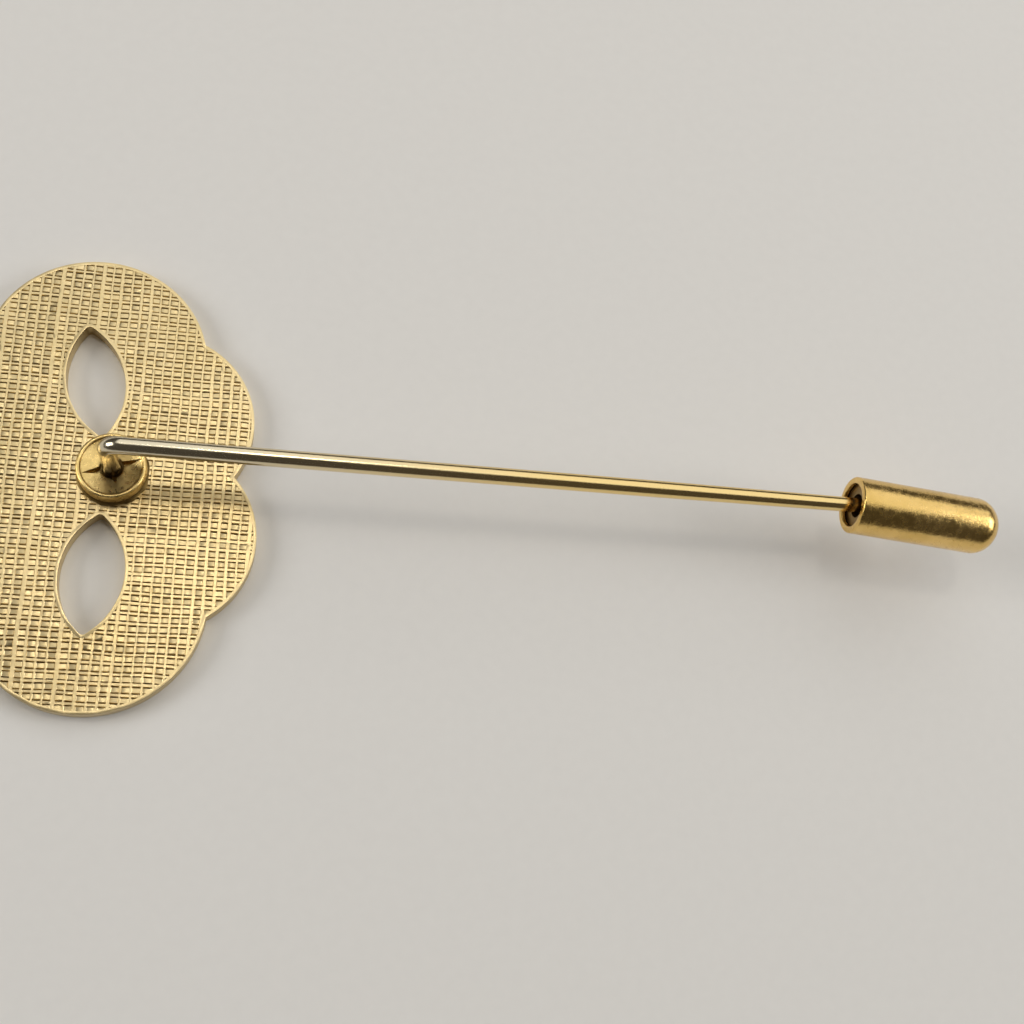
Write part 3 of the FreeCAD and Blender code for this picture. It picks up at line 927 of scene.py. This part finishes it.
class CapShell(bpy.types.Operator):
    """Bullet-shaped shell: rolled mouth, stepped bore and a round end, all turned on one axis"""
    bl_idname = "stick_pin.cap_shell"
    bl_label = "Cap shell"

    def execute(self, context):
        cap = context.scene.stick_pin_cap
        front, back, _, _ = sleeve_places()
        bore = cap.radius - cap.wall
        deep = bore - cap.shoulder
        shoulder_at = back + cap.sleeve_play
        straight = cap.reach - cap.dome
        roll = cap.lip_depth / 2
        pole, lip_round, relief, chamfer = 0.001 * MM, 0.08 * MM, 0.06 * MM, 0.05 * MM
        steps = 16
        rings = [(pole, cap.reach - cap.wall)]
        inner_dome = cap.dome - cap.wall
        for step in range(1, steps + 1):
            a = math.pi / 2 * step / steps
            rings.append((deep * math.sin(a), straight + inner_dome * math.cos(a)))
        rings += [(deep, shoulder_at), (bore, shoulder_at), (bore, cap.lip_depth + lip_round),
                  (bore - chamfer, cap.lip_depth)]
        rings += [(bore - cap.lip_overhang, cap.lip_depth - relief)]
        rings += arc((bore - cap.lip_overhang + lip_round, lip_round), lip_round, 180, 270, 5)
        rings += arc((cap.radius - roll, roll), roll, 270, 360, 8)
        for step in range(1, steps + 1):
            a = math.pi / 2 * (1 - step / steps)
            rings.append((max(cap.radius * math.sin(a), pole), straight + cap.dome * math.cos(a)))
        piece = turned(rings, sides=128)
        onto_cap(piece)
        finish = context.scene.stick_pin_finish
        gold = polished_gold("gold_plated_shell", finish.cap_gold, 0.12, 0.34, 0.45, 0.06)
        finish_piece(piece, "end_shell", "cap", gold, ["cap_shell"])
        return {"FINISHED"}


# --- studio -----------------------------------------------------------------------------------------------
def soft_box(name, at, aim, wide, tall, watts, tone="#ffffff"):
    light = bpy.data.lights.new(name, "AREA")
    light.shape = "RECTANGLE"
    light.size = wide
    light.size_y = tall
    light.energy = watts
    light.color = linear(tone)[:3]
    holder = bpy.data.objects.new(name, light)
    bpy.context.scene.collection.objects.link(holder)
    holder.location = at
    holder.rotation_mode = "QUATERNION"
    holder.rotation_quaternion = (Vector(aim) - Vector(at)).to_track_quat("-Z", "Y")


class Studio(bpy.types.Operator):
    """Pale floor, soft light and the camera"""
    bl_idname = "stick_pin.studio"
    bl_label = "Studio"

    def execute(self, context):
        studio = context.scene.stick_pin_studio
        clear_selection()
        bpy.ops.mesh.primitive_plane_add(size=studio.floor, location=(0, 0, -HAIR))
        floor = context.active_object
        floor.name = "floor"
        set_down(floor)
        floor.data.materials.append(pale_card())
        middle = Vector(studio.aim)
        soft_box("overhead", (0.12, 0.21, 0.38), middle, 0.62, 0.54, 1.03)
        soft_box("key", (0.0, 0.105, 0.5), (0, 0, 0), 0.05, 0.05, 0.12, "#fff6e8")
        soft_box("left_side", (-0.42, 0.0, 0.28), middle, 0.25, 0.25, 0.95)
        soft_box("right_side", (0.5, 0.0, 0.28), middle, 0.25, 0.25, 0.95)
        world = context.scene.world or bpy.data.worlds.new("studio")
        context.scene.world = world
        world.use_nodes = True
        ground = world.node_tree.nodes["Background"]
        ground.inputs["Color"].default_value = linear("#8c857c")
        ground.inputs["Strength"].default_value = 0.25
        camera = bpy.data.cameras.new("camera")
        camera.lens = studio.lens_mm
        camera.clip_start = 0.005
        holder = bpy.data.objects.new("camera", camera)
        context.scene.collection.objects.link(holder)
        forward = (Vector(studio.aim) - Vector(studio.camera_at)).normalized()
        right = forward.cross(Vector((0, 1, 0))).normalized()
        up = right.cross(forward)
        level = Matrix((right, up, -forward)).transposed().to_4x4()
        roll = Matrix.Rotation(-studio.roll, 4, "Z")
        holder.matrix_world = Matrix.Translation(studio.camera_at) @ level @ roll
        context.scene.camera = holder
        context.scene.view_settings.view_transform = "Standard"
        return {"FINISHED"}


class StickPinPanel(bpy.types.Panel):
    """Lists every piece of the pin"""
    bl_idname = "VIEW3D_PT_stick_pin"
    bl_label = "Stick pin"
    bl_space_type = "VIEW_3D"
    bl_region_type = "UI"
    bl_category = "Stick pin"

    def draw(self, context):
        for operator in OPERATORS:
            self.layout.operator(operator.bl_idname)
        for group, kind in GROUPS.items():
            box = self.layout.box()
            box.label(text=group.title())
            for name in kind.__annotations__:
                box.prop(getattr(context.scene, "stick_pin_" + group), name)


OPERATORS = [HeadPlate, Enamel, Pad, Solder, Needle, GripSleeve, CapShell, Studio]


def register():
    for kind in [*GROUPS.values(), *OPERATORS, StickPinPanel]:
        bpy.utils.register_class(kind)
    for group, kind in GROUPS.items():
        setattr(bpy.types.Scene, "stick_pin_" + group, bpy.props.PointerProperty(type=kind))


def unregister():
    for group in GROUPS:
        delattr(bpy.types.Scene, "stick_pin_" + group)
    for kind in [StickPinPanel, *reversed(OPERATORS), *GROUPS.values()]:
        bpy.utils.unregister_class(kind)


def main():
    register()
    for operator in OPERATORS:
        group, name = operator.bl_idname.split(".")
        getattr(getattr(bpy.ops, group), name)()


if __name__ == "__main__":
    main()
